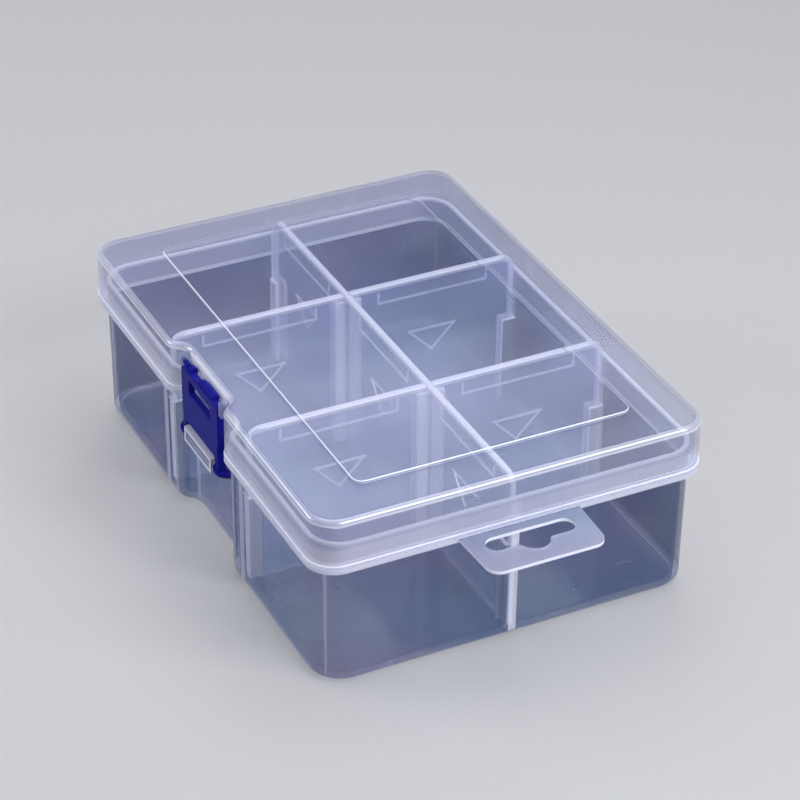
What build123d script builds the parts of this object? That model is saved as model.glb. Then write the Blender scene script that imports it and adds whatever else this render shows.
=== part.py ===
from build123d import *

import os
from math import atan2, cos, sin

# Clear compartment box for beads and small parts: a deep tray with a hang tab, one hinged lid,
# a coloured snap latch and five lift-out dividers.
# Millimetres.  +X is the long way towards the hang tab, -Y is the latch side, +Y the hinge side,
# +Z up.  The origin is on the table, at the centre of the four feet.

# --- Lid ---------------------------------------------------------------------------------------
lid_length = 165.6
lid_width = 120.0
lid_corner_radius = 8.5
lid_wall = 1.3
lid_top_thickness = 1.5
lid_top_height = 56.1
lid_edge_radius = 2.0
lid_bottom_height = 40.55
lip_height = 1.35
lip_proud = 0.25
panel_length = 138.2
panel_width = 84.8
panel_corner_radius = 3.2
panel_raise = 0.8
panel_edge_radius = 0.3
panel_step_inset = 0.5

# --- Tray --------------------------------------------------------------------------------------
lid_gap = 0.25
rim_drop = 7.3
tray_wall = 1.5
tray_floor = 1.6
tray_draft = 0.35
tray_corner_radius = 10.0
tray_bottom_radius = 2.6
cavity_bottom_radius = 1.6
rim_radius = 0.4
ledge_thickness = 1.2
seat_gap = 0.05
foot_radius = 4.0
foot_height = 0.8
foot_inset = 13.2
foot_overlap = 0.4

# --- Latch recess in the front walls ------------------------------------------------------------
recess_depth = 4.3
lid_recess_flat = 27.2
lid_recess_run = 8.0
tray_recess_flat = 26.0
tray_recess_run = 9.0

# --- Latch -------------------------------------------------------------------------------------
latch_width = 26.4
latch_thickness = 1.5
latch_top_thickness = 2.2
latch_side_thickness = 2.5
latch_flange_width = 1.2
latch_taper_height = 41.0
latch_front_setback = 1.1
latch_top_drop = 3.95
latch_neck_height = 38.8
latch_leg_width = 2.4
latch_corner_radius = 1.6
latch_edge_radius = 0.35
latch_pivot_drop = 3.9
latch_barrel_radius = 1.25
latch_barrel_gap = 0.2
latch_barrel_length = 9.0
latch_barrel_offset = 3.7
latch_knob_length = 2.0
latch_knob_offset = 8.3
latch_pin_radius = 0.8
latch_pin_root = 2.6
latch_pin_length = 1.4
latch_pin_clearance = 0.05
latch_pin_end_gap = 0.05
latch_side_gap = 0.3
latch_cheek_length = 1.9
latch_cheek_depth = 2.9
latch_cheek_drop = 2.2
latch_window_width = 14.8
latch_window_drop = 6.7
latch_window_height = 4.0
latch_arch_width = 20.6
latch_arch_rise = 3.5
latch_arch_radius = 0.8
finger_radius = 4.1
finger_spacing = 24.0
finger_top_height = 30.9
finger_thickness = 1.6
finger_edge_radius = 1.1
finger_web_height = 2.2
finger_web_reach = 0.6

# --- Catch on the tray ---------------------------------------------------------------------------
catch_width = 19.2
catch_gap = 0.35
catch_nose_rise = 2.05
catch_lip_drop = 2.75
catch_lip_thickness = 0.8
catch_rise = 2.5
catch_inset = 0.1
catch_pocket_border = 0.9
catch_pocket_depth = 0.3

# --- Lid hinge -----------------------------------------------------------------------------------
hinge_spacing = 56.0
hinge_knuckle_length = 9.0
hinge_ear_length = 3.0
hinge_side_gap = 0.3
hinge_pin_radius = 1.0
hinge_pin_clearance = 0.05
hinge_knuckle_radius = 1.9
hinge_ear_radius = 1.9
hinge_axis_stand_off = 2.05
hinge_axis_drop = 1.6
hinge_arm_rise = 5.0
hinge_ear_drop = 2.6

# --- Hang tab ------------------------------------------------------------------------------------
tab_reach = 20.0
tab_thickness = 1.0
tab_root_width = 37.0
tab_tip_width = 35.2
tab_corner_radius = 4.0
slot_lobe_radius = 3.1
slot_length = 26.8
slot_bulge_radius = 4.5
slot_bulge_offset = 2.2
slot_stand_off = 8.1
slot_corner_radius = 0.8

# --- Dividers ------------------------------------------------------------------------------------
divider_lid_gap = 1.6
divider_thickness = 1.5
divider_bead_width = 2.2
divider_bead_height = 1.6
divider_bead_radius = 0.5
divider_end_gap = 0.4
divider_top_corner_radius = 4.0
divider_bottom_corner_radius = 2.4
divider_seat_gap = 0.05
divider_joint_gap = 0.2
short_divider_spacing = 55.0
rib_thickness = 1.2
rib_slot_clearance = 0.3
wall_rib_depth = 4.2
wall_rib_height = 31.0
divider_rib_depth = 3.5
divider_rib_top_gap = 0.2

# --- Raised marks on the dividers ----------------------------------------------------------------
mark_height = 0.35
mark_line = 0.7
label_length_short = 36.8
label_length_long = 33.0
label_bottom_drop = 6.1
label_top_drop = 2.0
triangle_top_height = 35.0
triangle_width = 16.8
triangle_height = 8.6
outer_bay_mark = 53.4

# --- Places worked out from the sizes above --------------------------------------------------------
lid_underside = lid_top_height - lid_top_thickness
tray_height = lid_underside - rim_drop
divider_top_height = lid_underside - divider_lid_gap
label_bottom_height = divider_top_height - label_bottom_drop
label_top_height = divider_top_height - label_top_drop
latch_top_height = lid_top_height - latch_top_drop
latch_pivot_height = lid_top_height - latch_pivot_drop
latch_window_top = lid_top_height - latch_window_drop
ledge_top = lid_bottom_height - seat_gap
tray_length = lid_length - 2 * (lid_wall + lid_gap)
tray_width = lid_width - 2 * (lid_wall + lid_gap)
floor_length = tray_length - 2 * tray_draft
floor_width = tray_width - 2 * tray_draft
cavity_length = floor_length - 2 * tray_wall
cavity_width = floor_width - 2 * tray_wall
cavity_top_length = tray_length - 2 * tray_wall
cavity_top_width = tray_width - 2 * tray_wall
lid_half_width = lid_width / 2
latch_front = -lid_half_width + latch_front_setback
latch_back = latch_front + latch_thickness
latch_pivot_y = -lid_half_width + recess_depth - latch_barrel_radius - latch_barrel_gap
finger_bottom_height = finger_top_height - finger_thickness
finger_back = -lid_half_width + recess_depth
latch_arch_top = finger_top_height + latch_arch_rise
latch_flange_top = latch_top_height - latch_corner_radius
latch_leg_edge = latch_arch_width / 2 + latch_leg_width
catch_bottom = finger_top_height + catch_gap
catch_nose_top_height = catch_bottom + catch_nose_rise
catch_lip_height = catch_bottom - catch_lip_drop
catch_front = -lid_half_width + catch_inset
catch_root = -tray_width / 2 + recess_depth + tray_wall / 2
hinge_axis_y = lid_half_width + lip_proud + hinge_axis_stand_off
hinge_axis_z = ledge_top - hinge_axis_drop
tab_root = tray_length / 2 - tray_wall / 2
tab_tip = tray_length / 2 + tab_reach
slot_x = tray_length / 2 + slot_stand_off
floor_top = foot_height + tray_floor
divider_bottom = floor_top + divider_seat_gap
bead_bottom = divider_top_height - divider_bead_height
short_divider_start = divider_bead_width / 2 + divider_joint_gap
short_divider_end = cavity_width / 2 - divider_end_gap
long_divider_end = cavity_length / 2 - divider_end_gap
rib_offset = (divider_thickness + rib_slot_clearance + rib_thickness) / 2
wall_rib_root = tray_wall / 2
wall_rib_size = wall_rib_depth + wall_rib_root
wall_rib_x = (cavity_length - wall_rib_depth + wall_rib_root) / 2
wall_rib_y = (cavity_width - wall_rib_depth + wall_rib_root) / 2
short_mark_y = (short_divider_start + short_divider_end) / 2 - 2 * divider_joint_gap


def box_outline(length, width, corner, depth, flat, run):
    """Closed outline of a box wall with rounded corners and a smooth recess in its -Y side."""
    half_l = length / 2
    half_w = width / 2
    inner = flat / 2
    outer = inner + run
    middle = (inner + outer) / 2
    with BuildLine() as outline:
        Line((-half_l + corner, -half_w), (-outer, -half_w))
        TangentArc((-outer, -half_w), (-middle, -half_w + depth / 2), tangent=(1, 0))
        TangentArc((-inner, -half_w + depth), (-middle, -half_w + depth / 2), tangent=(-1, 0))
        Line((-inner, -half_w + depth), (inner, -half_w + depth))
        TangentArc((inner, -half_w + depth), (middle, -half_w + depth / 2), tangent=(1, 0))
        TangentArc((outer, -half_w), (middle, -half_w + depth / 2), tangent=(-1, 0))
        Line((outer, -half_w), (half_l - corner, -half_w))
        TangentArc((half_l - corner, -half_w), (half_l, -half_w + corner), tangent=(1, 0))
        Line((half_l, -half_w + corner), (half_l, half_w - corner))
        TangentArc((half_l, half_w - corner), (half_l - corner, half_w), tangent=(0, 1))
        Line((half_l - corner, half_w), (-half_l + corner, half_w))
        TangentArc((-half_l + corner, half_w), (-half_l, half_w - corner), tangent=(-1, 0))
        Line((-half_l, half_w - corner), (-half_l, -half_w + corner))
        TangentArc((-half_l, -half_w + corner), (-half_l + corner, -half_w), tangent=(0, -1))
    return outline.line


def lid_outline(grow):
    """Outline of the lid's skirt, moved outwards by grow."""
    return box_outline(
        lid_length + 2 * grow,
        lid_width + 2 * grow,
        lid_corner_radius + grow,
        recess_depth,
        lid_recess_flat,
        lid_recess_run,
    )


def tray_outline(length, width, shrink):
    """Outline of the tray's wall; shrink moves the recess with the wall's thickness."""
    return box_outline(
        length,
        width,
        tray_corner_radius - shrink,
        recess_depth,
        tray_recess_flat + shrink,
        tray_recess_run,
    )


# The hollow of the tray, widening a little towards the rim.
with BuildPart() as tray_cavity:
    with BuildSketch(Plane.XY.offset(floor_top)):
        with BuildLine():
            add(tray_outline(cavity_length, cavity_width, tray_wall))
        make_face()
    with BuildSketch(Plane.XY.offset(tray_height)):
        with BuildLine():
            add(tray_outline(cavity_top_length, cavity_top_width, tray_wall))
        make_face()
    loft(ruled=True)
    fillet(tray_cavity.edges().group_by(Axis.Z)[0], radius=cavity_bottom_radius)

# The tray: drafted walls, seat ledge for the lid, hang tab, rails, catch and hinge ears.
with BuildPart() as base_tray:
    with BuildSketch(Plane.XY.offset(foot_height)):
        with BuildLine():
            add(tray_outline(floor_length, floor_width, 0))
        make_face()
    with BuildSketch(Plane.XY.offset(tray_height)):
        with BuildLine():
            add(tray_outline(tray_length, tray_width, 0))
        make_face()
    loft(ruled=True)
    fillet(base_tray.edges().group_by(Axis.Z)[0], radius=tray_bottom_radius)
    # Ledge that the lid's lip rests on.
    with BuildSketch(Plane.XY.offset(ledge_top)):
        with BuildLine():
            add(lid_outline(lip_proud))
        make_face()
    extrude(amount=-ledge_thickness)
    # Hang tab, level with the ledge's top.
    with BuildSketch(Plane.XY.offset(ledge_top)) as tab_sketch:
        with BuildLine():
            Polyline(
                (tab_root, -tab_root_width / 2),
                (tab_tip, -tab_tip_width / 2),
                (tab_tip, tab_tip_width / 2),
                (tab_root, tab_root_width / 2),
                close=True,
            )
        make_face()
        fillet(tab_sketch.vertices().group_by(Axis.X)[-1], radius=tab_corner_radius)
    extrude(amount=-tab_thickness)
    # Hinge ears, two at each hinge, reaching down and back from the ledge.
    for side in (-1, 1):
        for end in (-1, 1):
            ear_x = side * hinge_spacing / 2
            ear_x += end * (hinge_knuckle_length / 2 + hinge_side_gap + hinge_ear_length / 2)
            with BuildSketch(Plane.YZ.offset(ear_x)):
                with Locations((hinge_axis_y, hinge_axis_z)):
                    Circle(hinge_ear_radius)
                with BuildLine():
                    Polyline(
                        (tray_width / 2 - tray_wall / 2, ledge_top - seat_gap),
                        (hinge_axis_y, ledge_top - seat_gap),
                        (hinge_axis_y + hinge_ear_radius, hinge_axis_z),
                        (hinge_axis_y, hinge_axis_z - hinge_ear_radius),
                        (tray_width / 2 - tray_wall / 2, hinge_axis_z - hinge_ear_drop),
                        close=True,
                    )
                make_face()
            extrude(amount=hinge_ear_length / 2, both=True)
    add(tray_cavity.part, mode=Mode.SUBTRACT)
    fillet(base_tray.edges().filter_by(GeomType.LINE).group_by(Axis.Z)[-1], radius=rim_radius)
    # Hinge pins, moulded between the ears.
    for side in (-1, 1):
        with BuildSketch(Plane.YZ.offset(side * hinge_spacing / 2)):
            with Locations((hinge_axis_y, hinge_axis_z)):
                Circle(hinge_pin_radius)
        extrude(amount=hinge_knuckle_length / 2 + hinge_ear_length, both=True)
    # The ledge steps back behind each knuckle of the lid.
    for side in (-1, 1):
        with BuildSketch(Plane.XY.offset(ledge_top)):
            with Locations((side * hinge_spacing / 2, lid_half_width + lip_proud)):
                Rectangle(hinge_knuckle_length + 2 * hinge_side_gap, 2 * (lip_proud + hinge_side_gap))
        extrude(amount=-ledge_thickness, mode=Mode.SUBTRACT)
    # Hanging slot: a long slot with a round bulge on its outer side.
    with BuildSketch(Plane.XY.offset(ledge_top)) as slot_sketch:
        with Locations((slot_x, 0)):
            SlotOverall(slot_length, 2 * slot_lobe_radius, rotation=90)
        with Locations((slot_x + slot_bulge_offset, 0)):
            Circle(slot_bulge_radius)
        bulge_corners = slot_sketch.vertices().filter_by(
            lambda v: abs(v.Y) < slot_length / 2 - slot_lobe_radius - slot_corner_radius
            and v.X > slot_x
        )
        fillet(bulge_corners, radius=slot_corner_radius)
    extrude(amount=-tab_thickness, mode=Mode.SUBTRACT)
    # Rails for the long divider on the end walls.
    for side in (-1, 1):
        for offset in (-rib_offset, rib_offset):
            with BuildSketch(Plane.XY.offset(floor_top)):
                with Locations((side * wall_rib_x, offset)):
                    Rectangle(wall_rib_size, rib_thickness)
            extrude(amount=wall_rib_height - floor_top)
    # Rails for the short dividers on the front and back walls.
    for x in (-short_divider_spacing / 2, short_divider_spacing / 2):
        for side in (-1, 1):
            for offset in (-rib_offset, rib_offset):
                with BuildSketch(Plane.XY.offset(floor_top)):
                    with Locations((x + offset, side * wall_rib_y)):
                        Rectangle(rib_thickness, wall_rib_size)
                extrude(amount=wall_rib_height - floor_top)
    # Catch for the latch: a hook whose lip hangs in front of the latch's bar, with a framed front.
    with BuildSketch(Plane.YZ):
        with BuildLine():
            Polyline(
                (catch_root, catch_bottom),
                (catch_front + catch_lip_thickness, catch_bottom),
                (catch_front + catch_lip_thickness, catch_lip_height),
                (catch_front, catch_lip_height),
                (catch_front, catch_nose_top_height),
                (catch_root, catch_bottom + catch_rise),
                close=True,
            )
        make_face()
    extrude(amount=catch_width / 2, both=True)
    with BuildSketch(Plane.XZ.offset(-catch_front)):
        with Locations((0, (catch_nose_top_height + catch_lip_height) / 2)):
            Rectangle(
                catch_width - 2 * catch_pocket_border,
                catch_nose_top_height - catch_lip_height - 2 * catch_pocket_border,
            )
    extrude(amount=-catch_pocket_depth, mode=Mode.SUBTRACT)
    # Four round feet under the floor.
    with BuildSketch(Plane.XY):
        with GridLocations(floor_length - 2 * foot_inset, floor_width - 2 * foot_inset, 2, 2):
            Circle(foot_radius)
    extrude(amount=foot_height + foot_overlap)
base_tray.part.label = "base_tray"

# The hollow of the lid, with the raised panel's own shallow step.
with BuildPart() as lid_cavity:
    with BuildSketch(Plane.XY.offset(lid_bottom_height)):
        with BuildLine():
            add(lid_outline(-lid_wall))
        make_face()
    extrude(amount=lid_underside - lid_bottom_height)
    with BuildSketch(Plane.XY.offset(lid_underside)):
        RectangleRounded(
            panel_length - 2 * panel_step_inset,
            panel_width - 2 * panel_step_inset,
            panel_corner_radius - panel_step_inset,
        )
    extrude(amount=panel_raise)

# The lid: skirt with a lip, raised panel, latch cheeks and two hinge knuckles.
with BuildPart() as lid:
    with BuildSketch(Plane.XY.offset(lid_bottom_height)):
        with BuildLine():
            add(lid_outline(0))
        make_face()
    extrude(amount=lid_top_height - lid_bottom_height)
    fillet(lid.edges().group_by(Axis.Z)[-1], radius=lid_edge_radius)
    with BuildSketch(Plane.XY.offset(lid_bottom_height)):
        with BuildLine():
            add(lid_outline(lip_proud))
        make_face()
    extrude(amount=lip_height)
    with BuildSketch(Plane.XY.offset(lid_top_height)):
        RectangleRounded(panel_length, panel_width, panel_corner_radius)
    extrude(amount=panel_raise)
    fillet(lid.edges().group_by(Axis.Z)[-1], radius=panel_edge_radius)
    # Arms that carry the hinge knuckles down behind the ledge.
    for side in (-1, 1):
        with BuildSketch(Plane.YZ.offset(side * hinge_spacing / 2)):
            with Locations((hinge_axis_y, hinge_axis_z)):
                Circle(hinge_knuckle_radius)
            with BuildLine():
                Polyline(
                    (lid_half_width - lid_wall / 2, lid_bottom_height + lip_height / 2),
                    (hinge_axis_y - hinge_knuckle_radius + lip_proud, hinge_axis_z),
                    (hinge_axis_y + hinge_knuckle_radius, hinge_axis_z),
                    (lid_half_width + lip_proud, lid_bottom_height + hinge_arm_rise),
                    (lid_half_width - lid_wall / 2, lid_bottom_height + hinge_arm_rise),
                    close=True,
                )
            make_face()
        extrude(amount=hinge_knuckle_length / 2, both=True)
    add(lid_cavity.part, mode=Mode.SUBTRACT)
    for side in (-1, 1):
        with BuildSketch(Plane.YZ.offset(side * hinge_spacing / 2)):
            with Locations((hinge_axis_y, hinge_axis_z)):
                Circle(hinge_pin_radius + hinge_pin_clearance)
        extrude(amount=hinge_knuckle_length / 2, both=True, mode=Mode.SUBTRACT)
    # Cheeks at both ends of the recess, each with a bore for the latch's pin.
    cheek_x = latch_width / 2 + latch_side_gap + latch_cheek_length / 2
    for side in (-1, 1):
        with BuildSketch(Plane.XY.offset(latch_pivot_height - latch_cheek_drop)):
            with Locations((side * cheek_x, -lid_half_width + recess_depth - latch_cheek_depth / 2)):
                Rectangle(latch_cheek_length, latch_cheek_depth)
        extrude(amount=lid_underside - latch_pivot_height + latch_cheek_drop)
    for side in (-1, 1):
        with BuildSketch(Plane.YZ.offset(side * (latch_width / 2 + latch_side_gap))):
            with Locations((latch_pivot_y, latch_pivot_height)):
                Circle(latch_pin_radius + latch_pin_clearance)
        extrude(amount=side * latch_pin_length, mode=Mode.SUBTRACT)
lid.part.label = "lid"

# The latch: a plate with a window, two legs round an arch, a bar, two half-round ledges for the
# fingers, a barrel and a knob along the pivot, and a pin at each end.
with BuildPart() as latch:
    with BuildSketch(Plane.XZ.offset(-latch_back)) as plate_sketch:
        with BuildLine():
            Polyline(
                (-latch_width / 2, latch_top_height),
                (latch_width / 2, latch_top_height),
                (latch_width / 2, latch_neck_height),
                (latch_leg_edge, latch_neck_height),
                (latch_leg_edge, finger_bottom_height),
                (-latch_leg_edge, finger_bottom_height),
                (-latch_leg_edge, latch_neck_height),
                (-latch_width / 2, latch_neck_height),
                close=True,
            )
        make_face()
        fillet(plate_sketch.vertices().group_by(Axis.Y)[-1], radius=latch_corner_radius)
        with Locations((0, latch_window_top - latch_window_height / 2)):
            Rectangle(latch_window_width, latch_window_height, mode=Mode.SUBTRACT)
        with BuildLine() as arch_line:
            Polyline(
                (-latch_arch_width / 2, finger_top_height),
                (-latch_arch_width / 2, latch_arch_top - latch_arch_radius),
            )
            TangentArc(
                (-latch_arch_width / 2, latch_arch_top - latch_arch_radius),
                (-latch_arch_width / 2 + latch_arch_radius, latch_arch_top),
                tangent=(0, 1),
            )
            Line(
                (-latch_arch_width / 2 + latch_arch_radius, latch_arch_top),
                (latch_arch_width / 2 - latch_arch_radius, latch_arch_top),
            )
            TangentArc(
                (latch_arch_width / 2 - latch_arch_radius, latch_arch_top),
                (latch_arch_width / 2, latch_arch_top - latch_arch_radius),
                tangent=(1, 0),
            )
            Polyline(
                (latch_arch_width / 2, latch_arch_top - latch_arch_radius),
                (latch_arch_width / 2, finger_top_height),
                (-latch_arch_width / 2, finger_top_height),
            )
        make_face(mode=Mode.SUBTRACT)
    extrude(amount=latch_thickness)
    fillet(latch.faces().sort_by(Axis.Y)[0].edges(), radius=latch_edge_radius)
    # The plate thickens towards its top, at the back.
    with BuildSketch(Plane.YZ):
        with BuildLine():
            Polyline(
                (latch_back, latch_taper_height),
                (latch_back, latch_flange_top),
                (latch_front + latch_top_thickness, latch_flange_top),
                close=True,
            )
        make_face()
    extrude(amount=latch_width / 2, both=True)
    with BuildSketch(Plane.XY.offset(latch_flange_top)):
        with Locations((0, (latch_back + latch_front + latch_top_thickness) / 2)):
            Rectangle(latch_width - 2 * latch_corner_radius, latch_top_thickness - latch_thickness)
    extrude(amount=latch_corner_radius)
    with BuildSketch(Plane.XZ.offset(-latch_back)):
        with Locations((0, latch_window_top - latch_window_height / 2)):
            Rectangle(latch_window_width, latch_window_height)
    extrude(amount=-latch_thickness, mode=Mode.SUBTRACT)
    # Flanges that stiffen both side edges and legs, at the back.
    for side in (-1, 1):
        with BuildSketch(Plane.XZ.offset(-latch_back)):
            with BuildLine():
                Polyline(
                    (side * latch_width / 2, latch_flange_top),
                    (side * latch_width / 2, latch_neck_height),
                    (side * latch_leg_edge, latch_neck_height),
                    (side * latch_leg_edge, finger_top_height),
                    (side * (latch_leg_edge - latch_flange_width), finger_top_height),
                    (side * (latch_leg_edge - latch_flange_width), latch_neck_height),
                    (side * (latch_width / 2 - latch_flange_width), latch_neck_height),
                    (side * (latch_width / 2 - latch_flange_width), latch_flange_top),
                    close=True,
                )
            make_face()
        extrude(amount=latch_thickness - latch_side_thickness)
    # Half-round finger ledges with a rounded lower edge, each with a web up to its leg.
    for side in (-1, 1):
        with BuildPart(mode=Mode.PRIVATE) as finger_ledge:
            with BuildSketch(Plane.XY.offset(finger_bottom_height)):
                with Locations((side * finger_spacing / 2, finger_back)):
                    Circle(finger_radius)
            extrude(amount=finger_thickness)
            fillet(finger_ledge.edges().group_by(Axis.Z)[0], radius=finger_edge_radius)
            with BuildSketch(Plane.XY.offset(finger_bottom_height)):
                with Locations((side * finger_spacing / 2, finger_back + finger_radius)):
                    Rectangle(2 * finger_radius, 2 * finger_radius)
            extrude(amount=finger_thickness, mode=Mode.SUBTRACT)
        add(finger_ledge.part)
        with BuildSketch(Plane.YZ.offset(side * (latch_arch_width + latch_leg_width) / 2)):
            with BuildLine():
                Polyline(
                    (latch_front + latch_edge_radius, finger_top_height + finger_web_height),
                    (latch_back, finger_top_height + finger_web_height),
                    (latch_back, finger_bottom_height + finger_edge_radius),
                    (latch_front - finger_web_reach, finger_top_height),
                    (latch_front, finger_top_height + latch_edge_radius),
                    close=True,
                )
            make_face()
        extrude(amount=latch_leg_width / 2, both=True)
    # Barrel and small knob along the pivot, then the two end pins.
    for offset, length in (
        (latch_barrel_offset, latch_barrel_length),
        (-latch_knob_offset, latch_knob_length),
    ):
        with BuildSketch(Plane.YZ.offset(offset)):
            with Locations((latch_pivot_y, latch_pivot_height)):
                Circle(latch_barrel_radius)
        extrude(amount=length / 2, both=True)
    for side in (-1, 1):
        with BuildSketch(Plane.YZ.offset(side * (latch_width / 2 - latch_pin_root))):
            with Locations((latch_pivot_y, latch_pivot_height)):
                Circle(latch_pin_radius)
        extrude(
            amount=side * (latch_pin_root + latch_side_gap + latch_pin_length - latch_pin_end_gap)
        )
latch.part.label = "latch"


def raised_marks(places, label_length):
    """Label frame (three sides) and a triangle pointing down, for each place along a divider."""
    label_height = label_top_height - label_bottom_height
    for place in places:
        with Locations((place, label_bottom_height + mark_line / 2)):
            Rectangle(label_length, mark_line)
        for end in (-1, 1):
            with Locations(
                (place + end * (label_length - mark_line) / 2, label_bottom_height + label_height / 2)
            ):
                Rectangle(mark_line, label_height)
        half = triangle_width / 2
        slope = atan2(triangle_height, half)
        inner_half = half - mark_line * (1 + cos(slope)) / sin(slope)
        Polygon(
            (place - half, triangle_top_height),
            (place, triangle_top_height - triangle_height),
            (place + half, triangle_top_height),
            align=None,
        )
        Polygon(
            (place - inner_half, triangle_top_height - mark_line),
            (place, triangle_top_height - mark_line - inner_half * triangle_height / half),
            (place + inner_half, triangle_top_height - mark_line),
            align=None,
            mode=Mode.SUBTRACT,
        )


# The long divider stands in the rails of the end walls and carries slots for the short ones.
with BuildPart() as long_divider:
    with BuildSketch(Plane.XZ) as long_sketch:
        with BuildLine():
            Polyline(
                (-long_divider_end, divider_bottom),
                (long_divider_end, divider_bottom),
                (long_divider_end, divider_top_height),
                (-long_divider_end, divider_top_height),
                close=True,
            )
        make_face()
        fillet(long_sketch.vertices().group_by(Axis.Y)[-1], radius=divider_top_corner_radius)
        fillet(long_sketch.vertices().group_by(Axis.Y)[0], radius=divider_bottom_corner_radius)
    extrude(amount=divider_thickness / 2, both=True)
    with BuildSketch(Plane.YZ.offset(-long_divider_end + divider_top_corner_radius)):
        with Locations((0, divider_top_height - divider_bead_height / 2)):
            RectangleRounded(divider_bead_width, divider_bead_height, divider_bead_radius)
    extrude(amount=2 * (long_divider_end - divider_top_corner_radius))
    for x in (-short_divider_spacing / 2, short_divider_spacing / 2):
        for offset in (-rib_offset, rib_offset):
            with BuildSketch(Plane.XY.offset(divider_bottom)):
                with Locations((x + offset, 0)):
                    Rectangle(rib_thickness, divider_thickness + 2 * divider_rib_depth)
            extrude(amount=bead_bottom - divider_rib_top_gap - divider_bottom)
    with BuildSketch(Plane.XZ.offset(divider_thickness / 2)):
        raised_marks((-outer_bay_mark, 0, outer_bay_mark), label_length_long)
    extrude(amount=mark_height)
long_divider.part.label = "long_divider"

# The four short dividers are one moulding, used left and right, front and back.
short_dividers = {
    "divider_front_left": (-1, -1),
    "divider_front_right": (1, -1),
    "divider_back_left": (-1, 1),
    "divider_back_right": (1, 1),
}
short_divider_parts = {}
for node, (x_side, y_side) in short_dividers.items():
    with BuildPart() as short_divider:
        with BuildSketch(Plane.YZ.offset(x_side * short_divider_spacing / 2)) as short_sketch:
            with BuildLine():
                Polyline(
                    (y_side * short_divider_start, divider_bottom),
                    (y_side * short_divider_end, divider_bottom),
                    (y_side * short_divider_end, divider_top_height),
                    (y_side * short_divider_start, divider_top_height),
                    close=True,
                )
            make_face()
            outer = short_sketch.vertices().sort_by(Axis.X)[::-y_side][:2]
            top_corner = ShapeList(outer).sort_by(Axis.Y)[-1]
            fillet(top_corner, radius=divider_top_corner_radius)
            lowest = short_sketch.vertices().group_by(Axis.Y)[0]
            bottom_corner = lowest.sort_by(Axis.X)[::-y_side][0]
            fillet(bottom_corner, radius=divider_bottom_corner_radius)
        extrude(amount=divider_thickness / 2, both=True)
        bead_length = short_divider_end - divider_top_corner_radius - short_divider_start
        with BuildSketch(Plane.XZ.offset(-y_side * short_divider_start)):
            with Locations(
                (x_side * short_divider_spacing / 2, divider_top_height - divider_bead_height / 2)
            ):
                RectangleRounded(divider_bead_width, divider_bead_height, divider_bead_radius)
        extrude(amount=-y_side * bead_length)
        with BuildSketch(Plane.YZ.offset(x_side * short_divider_spacing / 2 + divider_thickness / 2)):
            raised_marks((y_side * short_mark_y,), label_length_short)
        extrude(amount=mark_height)
    short_divider.part.label = node
    short_divider_parts[node] = short_divider.part

os.makedirs("parts", exist_ok=True)
export_step(base_tray.part, "parts/base_tray.step")
export_step(lid.part, "parts/lid.step")
export_step(latch.part, "parts/latch.step")
export_step(long_divider.part, "parts/long_divider.step")
for node, solid in short_divider_parts.items():
    export_step(solid, f"parts/{node}.step")
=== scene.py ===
from math import cos, radians, sin

import bpy
from mathutils import Matrix, Vector

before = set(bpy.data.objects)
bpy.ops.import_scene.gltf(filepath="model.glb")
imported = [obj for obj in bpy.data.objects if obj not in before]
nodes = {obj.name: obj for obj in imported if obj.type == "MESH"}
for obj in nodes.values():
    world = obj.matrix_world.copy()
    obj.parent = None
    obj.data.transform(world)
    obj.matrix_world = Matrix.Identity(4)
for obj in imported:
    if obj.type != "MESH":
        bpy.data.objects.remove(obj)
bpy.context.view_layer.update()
scene = bpy.context.scene

# --- Camera and studio ---------------------------------------------------------------------------
# A long lens looks down over the hang-tab corner of the box, which stands on a pale table under
# one large overhead panel and three smaller ones.  A ray may pass many clear walls on its way.
eye = Vector((0.646707, -0.317054, 0.495050))
yaw, pitch, roll = radians(63.548), radians(32.770), 0.012
focal_length_mm, sensor_width_mm = 131.174, 36.0
nearest_seen = 0.01
most_clear_walls = 48
ahead = Vector((-cos(pitch) * sin(yaw), cos(pitch) * cos(yaw), -sin(pitch)))
right = Vector((cos(yaw), sin(yaw), 0.0))
up = right.cross(ahead)
side_axis = cos(roll) * right + sin(roll) * up
top_axis = -sin(roll) * right + cos(roll) * up
camera = bpy.data.objects.new("camera", bpy.data.cameras.new("camera"))
camera.data.lens = focal_length_mm
camera.data.sensor_width = sensor_width_mm
camera.data.clip_start = nearest_seen
turn = Matrix((side_axis, top_axis, -ahead)).transposed().to_4x4()
camera.matrix_world = Matrix.Translation(eye) @ turn
scene.collection.objects.link(camera)
scene.camera = camera
scene.view_settings.view_transform = "Standard"
scene.cycles.transparent_max_bounces = most_clear_walls
scene.cycles.denoising_input_passes = "RGB_ALBEDO"

lamp_colour = (0.92, 0.955, 1.0)
middle_of_box = (0.0, 0.0, 0.03)


def lamp(name, place, width, height, watts):
    """Rectangular lamp panel at place, facing the middle of the box; sizes in metres."""
    data = bpy.data.lights.new(name, "AREA")
    data.shape = "RECTANGLE"
    data.size, data.size_y = width, height
    data.energy = watts
    data.color = lamp_colour
    panel = bpy.data.objects.new(name, data)
    panel.location = place
    aim = Vector(middle_of_box) - Vector(place)
    panel.rotation_euler = aim.to_track_quat("-Z", "Y").to_euler()
    scene.collection.objects.link(panel)


lamp("overhead_panel", (-0.10, 0.12, 0.95), width=0.9, height=0.7, watts=4.2)
lamp("far_panel", (-0.68, 0.34, 0.70), width=0.5, height=0.3, watts=1.3)
lamp("tab_end_panel", (0.75, 0.30, 0.70), width=0.7, height=0.35, watts=9.5)
lamp("latch_side_panel", (-0.45, -0.70, 0.38), width=0.5, height=0.16, watts=3.5)

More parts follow.
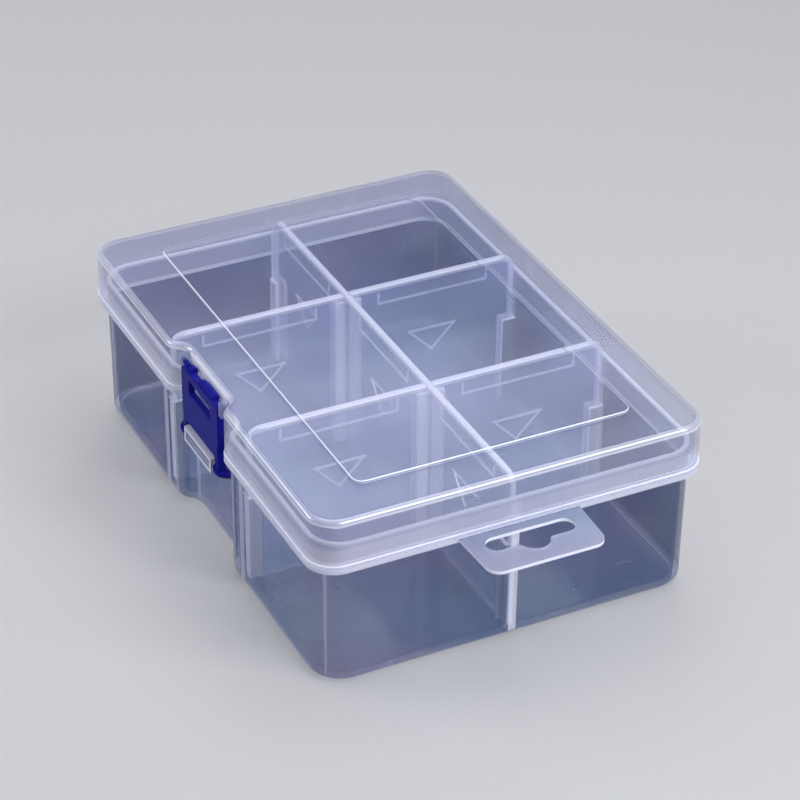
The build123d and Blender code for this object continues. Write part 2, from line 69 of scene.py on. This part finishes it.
air_colour = (0.90, 0.92, 1.0, 1.0)
air_strength = 0.28
world = bpy.data.worlds.new("studio_air")
world.use_nodes = True
air = world.node_tree.nodes["Background"]
air.inputs["Color"].default_value = air_colour
air.inputs["Strength"].default_value = air_strength
scene.world = world

table_reach = 3
table_top = -0.0001
table_colour = (0.47, 0.46, 0.46, 1.0)
table_roughness = 0.6
table_mesh = bpy.data.meshes.new("table")
table_corners = [
    (-table_reach, -table_reach, table_top),
    (table_reach, -table_reach, table_top),
    (table_reach, table_reach, table_top),
    (-table_reach, table_reach, table_top),
]
table_mesh.from_pydata(table_corners, [], [(0, 1, 2, 3)])
table = bpy.data.objects.new("table", table_mesh)
scene.collection.objects.link(table)
table_finish = bpy.data.materials.new("table_finish")
table_finish.use_nodes = True
table_shader = table_finish.node_tree.nodes["Principled BSDF"]
table_shader.inputs["Base Color"].default_value = table_colour
table_shader.inputs["Roughness"].default_value = table_roughness
table_mesh.materials.append(table_finish)

# --- Clear tray ----------------------------------------------------------------------------------
# The tray is one injection moulding of clear polypropylene, about 1.5 mm thick, with a little
# milkiness from the crystals in the plastic, faint flow waves from the mould, and pink and teal
# patches that are a painted rainbow sheen.  Its rim, ledge, rails, corners and cut edges are
# painted white: partly the frost of the plastic, partly painted glow and highlight.


def moulding_group():
    """Node group for clear moulded plastic: clouded tint, varied cover, gloss, flow waves.

    Colour is Tint towards Milk where a coarse noise is high, towards the stress colour in slow
    bands, which is a painted rainbow sheen, and towards the white edge colour where the frost mask
    is 1;
    that white is partly the plastic's frost and partly painted glow and highlight.  Cover is how
    much the surface hides: Haze, a little more or less in a slow noise, rising to Edge Cover with
    the frost mask.  Roughness is Gloss plus a fine noise times Gloss Spread, plus the frost mask
    times Edge Gloss.  Height adds long flow waves to a fine peel.
    """
    cloud_scale, band_scale, peel_scale, wave_scale = 22.0, 5.0, 420.0, 14.0
    band_wander, wave_wander = 9.0, 7.0
    peel_share = 0.03
    tree = bpy.data.node_groups.new("clear_moulding", "ShaderNodeTree")
    put = tree.interface.new_socket
    put("Position", in_out="INPUT", socket_type="NodeSocketVector")
    for name in ("Tint", "Milk", "Rainbow Sheen", "Edge Glow"):
        put(name, in_out="INPUT", socket_type="NodeSocketColor")
    for name in ("Frost And Glow", "Haze", "Edge Cover", "Gloss", "Gloss Spread", "Edge Gloss"):
        put(name, in_out="INPUT", socket_type="NodeSocketFloat")
    put("Colour", in_out="OUTPUT", socket_type="NodeSocketColor")
    for name in ("Cover", "Roughness", "Height"):
        put(name, in_out="OUTPUT", socket_type="NodeSocketFloat")
    make = tree.nodes.new
    join = tree.links.new
    source = make("NodeGroupInput")
    result = make("NodeGroupOutput")

    def layer(below, above, amount):
        """Colour below, mixed towards above by amount."""
        mix = make("ShaderNodeMix")
        mix.data_type = "RGBA"
        join(amount, mix.inputs["Factor"])
        join(below, mix.inputs["A"])
        join(above, mix.inputs["B"])
        return mix.outputs["Result"]

    def remap(value, low, high, to_low=0.0, to_high=1.0):
        """Value from low to high stretched to run from to_low to to_high."""
        node = make("ShaderNodeMapRange")
        node.inputs["From Min"].default_value = low
        node.inputs["From Max"].default_value = high
        node.inputs["To Min"].default_value = to_low
        node.inputs["To Max"].default_value = to_high
        join(value, node.inputs["Value"])
        return node.outputs["Result"]

    def math(operation, *items):
        """Math node on sockets or plain numbers."""
        node = make("ShaderNodeMath")
        node.operation = operation
        for socket, item in zip(node.inputs, items):
            if isinstance(item, float):
                socket.default_value = item
            else:
                join(item, socket)
        return node.outputs["Value"]

    cloud = make("ShaderNodeTexNoise")
    cloud.inputs["Scale"].default_value = cloud_scale
    cloud.inputs["Detail"].default_value = 3.0
    join(source.outputs["Position"], cloud.inputs["Vector"])
    bands = make("ShaderNodeTexWave")
    bands.inputs["Scale"].default_value = band_scale
    bands.inputs["Distortion"].default_value = band_wander
    bands.inputs["Detail"].default_value = 2.0
    join(source.outputs["Position"], bands.inputs["Vector"])
    milkiness = remap(cloud.outputs["Fac"], 0.35, 0.70)
    colour = layer(source.outputs["Tint"], source.outputs["Milk"], milkiness)
    # Slow bands towards the stress colour: a painted rainbow sheen.
    banding = remap(bands.outputs["Fac"], 0.45, 1.30)
    colour = layer(colour, source.outputs["Rainbow Sheen"], banding)
    colour = layer(colour, source.outputs["Edge Glow"], source.outputs["Frost And Glow"])
    join(colour, result.inputs["Colour"])

    patches = remap(cloud.outputs["Fac"], 0.30, 0.70, to_low=0.75, to_high=1.25)
    haze = math("MULTIPLY", source.outputs["Haze"], patches)
    rest = math("SUBTRACT", source.outputs["Edge Cover"], haze)
    join(math("MULTIPLY_ADD", rest, source.outputs["Frost And Glow"], haze), result.inputs["Cover"])

    peel = make("ShaderNodeTexNoise")
    peel.inputs["Scale"].default_value = peel_scale
    peel.inputs["Detail"].default_value = 2.0
    join(source.outputs["Position"], peel.inputs["Vector"])
    grain = source.outputs["Gloss Spread"]
    gloss = math("MULTIPLY_ADD", peel.outputs["Fac"], grain, source.outputs["Gloss"])
    gloss = math("MULTIPLY_ADD", source.outputs["Frost And Glow"], source.outputs["Edge Gloss"], gloss)
    join(gloss, result.inputs["Roughness"])
    waves = make("ShaderNodeTexWave")
    waves.inputs["Scale"].default_value = wave_scale
    waves.inputs["Distortion"].default_value = wave_wander
    waves.inputs["Detail"].default_value = 1.0
    join(source.outputs["Position"], waves.inputs["Vector"])
    height = math("MULTIPLY_ADD", peel.outputs["Fac"], peel_share, waves.outputs["Fac"])
    join(height, result.inputs["Height"])
    return tree


def block_group():
    """Node group that is Strength inside a box centred at Centre and its mirror images.

    Mirror is 1 for each axis that the box is mirrored in; the box reaches Reach each way, and
    only counts where the upward part of the surface's normal is between Low and High.
    """
    tree = bpy.data.node_groups.new("mirrored_block", "ShaderNodeTree")
    put = tree.interface.new_socket
    for name in ("Position", "Normal", "Centre", "Reach", "Mirror"):
        put(name, in_out="INPUT", socket_type="NodeSocketVector")
    for name in ("Low", "High", "Strength"):
        put(name, in_out="INPUT", socket_type="NodeSocketFloat")
    put("Inside", in_out="OUTPUT", socket_type="NodeSocketFloat")
    make = tree.nodes.new
    join = tree.links.new
    source = make("NodeGroupInput")
    result = make("NodeGroupOutput")

    def vector(operation, first, second=None):
        """Vector Math node on sockets."""
        node = make("ShaderNodeVectorMath")
        node.operation = operation
        join(first, node.inputs[0])
        if second is not None:
            join(second, node.inputs[1])
        return node.outputs["Vector"]

    def math(operation, first, second=None):
        """Math node on sockets."""
        node = make("ShaderNodeMath")
        node.operation = operation
        join(first, node.inputs[0])
        if second is not None:
            join(second, node.inputs[1])
        return node.outputs["Value"]

    def parts(item):
        """The X, Y and Z of a vector."""
        node = make("ShaderNodeSeparateXYZ")
        join(item, node.inputs["Vector"])
        return [node.outputs[axis] for axis in "XYZ"]

    folded = make("ShaderNodeMix")
    folded.data_type = "VECTOR"
    folded.factor_mode = "NON_UNIFORM"
    vectors = [socket for socket in folded.inputs if socket.type == "VECTOR"]
    join(source.outputs["Mirror"], vectors[0])
    join(source.outputs["Position"], vectors[1])
    join(vector("ABSOLUTE", source.outputs["Position"]), vectors[2])
    here = next(socket for socket in folded.outputs if socket.type == "VECTOR")
    away = vector("ABSOLUTE", vector("SUBTRACT", here, source.outputs["Centre"]))
    inside = source.outputs["Strength"]
    for distance, reach in zip(parts(away), parts(source.outputs["Reach"])):
        inside = math("MULTIPLY", inside, math("LESS_THAN", distance, reach))
    rise = math("ABSOLUTE", parts(source.outputs["Normal"])[2])
    inside = math("MULTIPLY", inside, math("GREATER_THAN", rise, source.outputs["Low"]))
    inside = math("MULTIPLY", inside, math("LESS_THAN", rise, source.outputs["High"]))
    join(inside, result.inputs["Inside"])
    return tree


def hollow_group():
    """Node group that is 1 where the face turned to the eye also faces Centre, else 0."""
    tree = bpy.data.node_groups.new("faces_hollow", "ShaderNodeTree")
    for name in ("Position", "Normal", "Centre"):
        tree.interface.new_socket(name, in_out="INPUT", socket_type="NodeSocketVector")
    tree.interface.new_socket("Facing", in_out="OUTPUT", socket_type="NodeSocketFloat")
    source = tree.nodes.new("NodeGroupInput")
    result = tree.nodes.new("NodeGroupOutput")
    inwards = tree.nodes.new("ShaderNodeVectorMath")
    inwards.operation = "SUBTRACT"
    along = tree.nodes.new("ShaderNodeVectorMath")
    along.operation = "DOT_PRODUCT"
    facing = tree.nodes.new("ShaderNodeMath")
    facing.operation = "GREATER_THAN"
    facing.inputs[1].default_value = 0.0
    tree.links.new(source.outputs["Centre"], inwards.inputs[0])
    tree.links.new(source.outputs["Position"], inwards.inputs[1])
    tree.links.new(inwards.outputs["Vector"], along.inputs[0])
    tree.links.new(source.outputs["Normal"], along.inputs[1])
    tree.links.new(along.outputs["Value"], facing.inputs[0])
    tree.links.new(facing.outputs["Value"], result.inputs["Facing"])
    return tree


clear_moulding = moulding_group()
mirrored_block = block_group()
faces_hollow = hollow_group()

# Slopes are the least and most that a face may look up or down: 0 is a wall and 1 is level.
# The mirrors say which of X, Y and Z a block is repeated across.  An endless reach, in metres,
# goes past the whole box.
any_slope, upright, tilted = (-0.1, 1.1), (-0.1, 0.5), (0.12, 0.97)
steep, rounded, foot_curve = (0.10, 0.40), (0.2, 0.99), (0.3, 0.93)
both_ways, left_right, one_place = (1, 1, 0), (1, 0, 0), (0, 0, 0)
endless = 0.2


def clear_plastic(
    name,
    tint,
    milk,
    rainbow_sheen,
    edge_glow,
    haze,
    edge_cover,
    gloss,
    gloss_spread,
    edge_gloss,
    shine,
    wave_depth,
    blocks,
    hollow_shade_haze=0.0,
):
    """Clear plastic that hides what is behind it by its haze, and more where it is painted white.

    blocks lists (strength, centre, reach, mirror, slopes): boxes in metres that are painted white,
    partly as the plastic's frost and partly as painted glow and highlight.  The inner haze is
    added to the haze of faces seen from the box's hollow, and lays the dark tint over them as
    painted shade inside the box.  Light on its way to other surfaces passes more freely than the
    haze says, by light_share.
    """
    light_share = 0.65
    above_hollow = (0.0, 0.0, 0.2)
    wave_strength = 0.25
    finish = bpy.data.materials.new(name)
    finish.use_nodes = True
    tree = finish.node_tree
    make = tree.nodes.new
    join = tree.links.new
    body = tree.nodes["Principled BSDF"]
    place = make("ShaderNodeTexCoord")
    frost_and_glow = None
    for strength, centre, reach, mirror, slopes in blocks:
        block = make("ShaderNodeGroup")
        block.node_tree = mirrored_block
        block.inputs["Strength"].default_value = strength
        block.inputs["Centre"].default_value = centre
        block.inputs["Reach"].default_value = reach
        block.inputs["Mirror"].default_value = mirror
        block.inputs["Low"].default_value, block.inputs["High"].default_value = slopes
        join(place.outputs["Object"], block.inputs["Position"])
        join(place.outputs["Normal"], block.inputs["Normal"])
        if frost_and_glow is None:
            frost_and_glow = block.outputs["Inside"]
        else:
            either = make("ShaderNodeMath")
            either.operation = "MAXIMUM"
            join(frost_and_glow, either.inputs[0])
            join(block.outputs["Inside"], either.inputs[1])
            frost_and_glow = either.outputs["Value"]

    cloud = make("ShaderNodeGroup")
    cloud.node_tree = clear_moulding
    for socket, value in (("Tint", tint), ("Milk", milk), ("Rainbow Sheen", rainbow_sheen), ("Edge Glow", edge_glow)):
        cloud.inputs[socket].default_value = (*value, 1.0)
    for socket, value in (
        ("Edge Cover", edge_cover),
        ("Gloss", gloss),
        ("Gloss Spread", gloss_spread),
        ("Edge Gloss", edge_gloss),
    ):
        cloud.inputs[socket].default_value = value
    join(place.outputs["Object"], cloud.inputs["Position"])
    join(frost_and_glow, cloud.inputs["Frost And Glow"])
    inner = make("ShaderNodeGroup")
    inner.node_tree = faces_hollow
    inner.inputs["Centre"].default_value = above_hollow
    join(place.outputs["Object"], inner.inputs["Position"])
    join(place.outputs["Normal"], inner.inputs["Normal"])
    # Painted shade inside the box: more haze, so more dark tint, on faces seen from the hollow.
    deeper = make("ShaderNodeMath")
    deeper.operation = "MULTIPLY_ADD"
    deeper.inputs[1].default_value = hollow_shade_haze
    deeper.inputs[2].default_value = haze
    join(inner.outputs["Facing"], deeper.inputs[0])
    join(deeper.outputs["Value"], cloud.inputs["Haze"])
    light = make("ShaderNodeLightPath")
    passing = make("ShaderNodeMath")
    passing.operation = "MULTIPLY_ADD"
    passing.inputs[1].default_value = -light_share
    passing.inputs[2].default_value = 1.0
    join(light.outputs["Is Shadow Ray"], passing.inputs[0])
    cover = make("ShaderNodeMath")
    cover.operation = "MULTIPLY"
    join(cloud.outputs["Cover"], cover.inputs[0])
    join(passing.outputs["Value"], cover.inputs[1])
    join(cloud.outputs["Colour"], body.inputs["Base Color"])
    join(cover.outputs["Value"], body.inputs["Alpha"])
    join(cloud.outputs["Roughness"], body.inputs["Roughness"])
    bump = make("ShaderNodeBump")
    bump.inputs["Strength"].default_value = wave_strength
    bump.inputs["Distance"].default_value = wave_depth
    join(cloud.outputs["Height"], bump.inputs["Height"])
    join(bump.outputs["Normal"], body.inputs["Normal"])
    body.inputs["IOR"].default_value = shine
    return finish


nodes["base_tray"].data.materials[0] = clear_plastic(
    "clear_tray_plastic",
    # Milk leans to teal and the stress colour to pink, so that their patches paint a faint rainbow
    # sheen.
    tint=(0.075, 0.102, 0.210),
    milk=(0.095, 0.142, 0.258),
    rainbow_sheen=(0.148, 0.117, 0.241),
    edge_glow=(0.88, 0.88, 1.00),
    haze=0.20,
    edge_cover=0.85,
    gloss=0.06,
    gloss_spread=0.06,
    edge_gloss=0.35,
    shine=1.55,
    wave_depth=0.00008,
    blocks=[
        # The rim's top, the rim's wall, the edge of the seat ledge and the hang tab's rim, painted
        # white:
        # partly frost, partly painted glow where they gather light.
        (0.75, (0.0, 0.0, 0.0473), (endless, endless, 0.0010), both_ways, any_slope),
        (0.40, (0.0, 0.0, 0.0435), (endless, endless, 0.0042), both_ways, upright),
        (0.80, (0.0, 0.0, 0.0400), (0.0832, endless, 0.0007), both_ways, any_slope),
        (1.00, (0.0930, 0.0, 0.0400), (0.0095, 0.02, 0.0007), one_place, upright),
        (0.10, (0.0930, 0.0, 0.0400), (0.0095, 0.02, 0.0007), one_place, any_slope),
        # The rails that hold the ends of the dividers, and the wall behind each rail, painted
        # white:
        # partly frost, partly painted glow that lifts them out of their shade.
        (0.95, (0.0770, 0.0, 0.0170), (0.0026, 0.0021, 0.0142), both_ways, any_slope),
        (0.75, (0.0800, 0.0, 0.0230), (0.0020, 0.0012, 0.0240), both_ways, upright),
        (0.95, (0.0275, 0.0543, 0.0170), (0.0021, 0.0026, 0.0142), both_ways, any_slope),
        (0.55, (0.0275, 0.0570, 0.0230), (0.0014, 0.0020, 0.0240), both_ways, upright),
        # A painted highlight down each corner, where the rounded wall bends the light.
        (0.45, (0.0779, 0.0559, 0.0210), (0.0005, 0.0006, 0.0180), both_ways, upright),
        # The catch for the latch, a little milky, with painted highlight lines on its front and
        # its upper edge.
        (0.34, (0.0, -0.0575, 0.0310), (0.0098, 0.0026, 0.0030), one_place, any_slope),
        (0.90, (0.0, -0.0599, 0.0310), (0.0098, 0.00012, 0.0030), one_place, upright),
        (0.70, (0.0, -0.0585, 0.0333), (0.0098, 0.0016, 0.0004), one_place, any_slope),
        # Painted highlight bands on the two bends at each side of the latch recess, and on the
        # curve round the floor.
        (0.45, (0.0215, -0.0575, 0.0210), (0.0012, 0.0040, 0.0180), left_right, upright),
        (0.45, (0.0140, -0.0550, 0.0210), (0.0010, 0.0040, 0.0180), left_right, upright),
        (0.35, (0.0, 0.0, 0.0016), (endless, endless, 0.0010), both_ways, foot_curve),
    ],
    # Faces seen from the hollow take more of the dark tint: painted shade inside the box.
    hollow_shade_haze=0.56,
)

# --- Clear lid -----------------------------------------------------------------------------------
# The lid is one moulding of the same plastic, and a little clearer than the tray.  Its rounded
# edges, the step round the panel and the lip at the bottom of its skirt are painted white, as
# painted highlights where light catches and bends in them.
nodes["lid"].data.materials[0] = clear_plastic(
    "clear_lid_plastic",
    tint=(0.10, 0.135, 0.30),
    milk=(0.15, 0.195, 0.38),
    rainbow_sheen=(0.17, 0.165, 0.36),
    edge_glow=(0.92, 0.91, 1.00),
    haze=0.16,
    edge_cover=0.88,
    gloss=0.11,
    gloss_spread=0.05,
    edge_gloss=0.24,
    shine=2.6,
    wave_depth=0.00006,
    blocks=[
        # The skirt and its lower half, a little milkier, and painted highlights on the lip under
        # it and along the lip's bright line.
        (0.22, (0.0, 0.0, 0.0480), (endless, endless, 0.0074), both_ways, upright),
        (0.45, (0.0, 0.0, 0.0440), (endless, endless, 0.0030), both_ways, upright),
        (0.45, (0.0, 0.0, 0.0412), (endless, endless, 0.0008), both_ways, any_slope),
        (1.00, (0.0, 0.0, 0.0418), (endless, endless, 0.00016), both_ways, any_slope),
        # Painted highlight on the rounded top edge, stronger on its steep lower part.
        (0.50, (0.0, 0.0, 0.0550), (endless, endless, 0.0011), both_ways, tilted),
        (0.76, (0.0, 0.0, 0.0550), (endless, endless, 0.0011), both_ways, steep),
        # Painted highlight lines on the round and the step of the raised panel.
        (1.00, (0.0, 0.0, 0.0568), (0.0692, 0.0425, 0.0003), both_ways, rounded),
        (0.90, (0.0, 0.0, 0.05618), (0.0692, 0.0425, 0.00015), both_ways, upright),
        # Painted light on the wall of the latch recess, at its top and below, so that it looks lit
        # behind the latch.
        (1.00, (0.0, -0.0550, 0.0545), (0.0133, 0.0014, 0.0022), one_place, upright),
        (0.45, (0.0, -0.0550, 0.0462), (0.0133, 0.0014, 0.0061), one_place, upright),
    ],
)

# --- Clear dividers ------------------------------------------------------------------------------
# The five dividers are thinner mouldings of the same plastic that slide into the tray's rails.
# The bead along the top, the rails and the raised marks stand proud of the plate and are painted
# white, partly as frost and partly as painted glow where they gather light.  The long one is
# painted a little lighter and hazier than the four short ones, as painted light on its face.
divider_looks = dict(
    edge_glow=(0.88, 0.88, 1.00),
    edge_cover=0.85,
    gloss=0.10,
    gloss_spread=0.08,
    edge_gloss=0.35,
    shine=2.0,
    wave_depth=0.00006,
)
plate_skin = 0.0009
proud = 0.0050
past_skin = plate_skin + proud
nodes["long_divider"].data.materials[0] = clear_plastic(
    "clear_long_divider_plastic_painted_lighter",
    # Lighter tint and more haze than the short dividers: painted light on this face.
    tint=(0.41, 0.47, 0.66),
    milk=(0.50, 0.57, 0.76),
    rainbow_sheen=(0.50, 0.50, 0.71),
    haze=0.36,
    blocks=[
        # Painted white, partly frost and partly painted glow: the bead, whatever stands proud of
        # the plate, the plate's top edge and its two ends.
        (0.70, (0.0, past_skin, 0.0540), (0.09, proud, 0.0027), both_ways, any_slope),
        (0.55, (0.0, past_skin, 0.0250), (0.09, proud, 0.0264), both_ways, any_slope),
        (0.70, (0.0, 0.0, 0.0530), (0.09, 0.002, 0.0016), both_ways, any_slope),
        (0.70, (0.0790, 0.0, 0.0270), (0.0012, 0.002, 0.0270), both_ways, upright),
    ],
    **divider_looks,
)
short_place = 0.0275
right_side = short_place + plate_skin + proud
left_side = short_place - plate_skin - proud
short_divider_plastic = clear_plastic(
    "clear_short_divider_plastic",
    tint=(0.32, 0.40, 0.64),
    milk=(0.41, 0.50, 0.74),
    rainbow_sheen=(0.41, 0.43, 0.69),
    haze=0.30,
    blocks=[
        # Painted white, partly frost and partly painted glow: whatever stands proud of either side
        # of the plate, its top edge and its outer end.
        (0.55, (right_side, 0.03, 0.03), (proud, 0.03, 0.03), both_ways, any_slope),
        (0.55, (left_side, 0.03, 0.03), (proud, 0.03, 0.03), both_ways, any_slope),
        (0.70, (short_place, 0.03, 0.0530), (0.002, 0.03, 0.0016), both_ways, any_slope),
        (0.70, (short_place, 0.0560, 0.0270), (0.002, 0.0012, 0.0270), both_ways, upright),
    ],
    **divider_looks,
)
for node in nodes:
    if node.startswith("divider"):
        nodes[node].data.materials[0] = short_divider_plastic

# --- Blue latch ----------------------------------------------------------------------------------
# The latch is a solid-coloured polypropylene moulding in dark royal blue.  It turns on two stub
# pins in the lid, and a fine peel from the mould breaks up its gloss.
latch_shine = 1.09
latch_peel_strength, latch_peel_depth = 0.3, 0.00005
latch_plastic = bpy.data.materials.new("blue_latch_plastic")
latch_plastic.use_nodes = True
latch_tree = latch_plastic.node_tree
latch_shader = latch_tree.nodes["Principled BSDF"]
latch_shader.inputs["IOR"].default_value = latch_shine
latch_place = latch_tree.nodes.new("ShaderNodeTexCoord")
latch_cloud = latch_tree.nodes.new("ShaderNodeGroup")
latch_cloud.node_tree = clear_moulding
latch_cloud.inputs["Tint"].default_value = (0.008, 0.009, 0.190, 1.0)
latch_cloud.inputs["Milk"].default_value = (0.010, 0.011, 0.220, 1.0)
latch_cloud.inputs["Rainbow Sheen"].default_value = (0.009, 0.010, 0.205, 1.0)
latch_cloud.inputs["Gloss"].default_value = 0.26
latch_cloud.inputs["Gloss Spread"].default_value = 0.14
latch_bump = latch_tree.nodes.new("ShaderNodeBump")
latch_bump.inputs["Strength"].default_value = latch_peel_strength
latch_bump.inputs["Distance"].default_value = latch_peel_depth
latch_tree.links.new(latch_place.outputs["Object"], latch_cloud.inputs["Position"])
latch_tree.links.new(latch_cloud.outputs["Colour"], latch_shader.inputs["Base Color"])
latch_tree.links.new(latch_cloud.outputs["Roughness"], latch_shader.inputs["Roughness"])
latch_tree.links.new(latch_cloud.outputs["Height"], latch_bump.inputs["Height"])
latch_tree.links.new(latch_bump.outputs["Normal"], latch_shader.inputs["Normal"])
nodes["latch"].data.materials[0] = latch_plastic
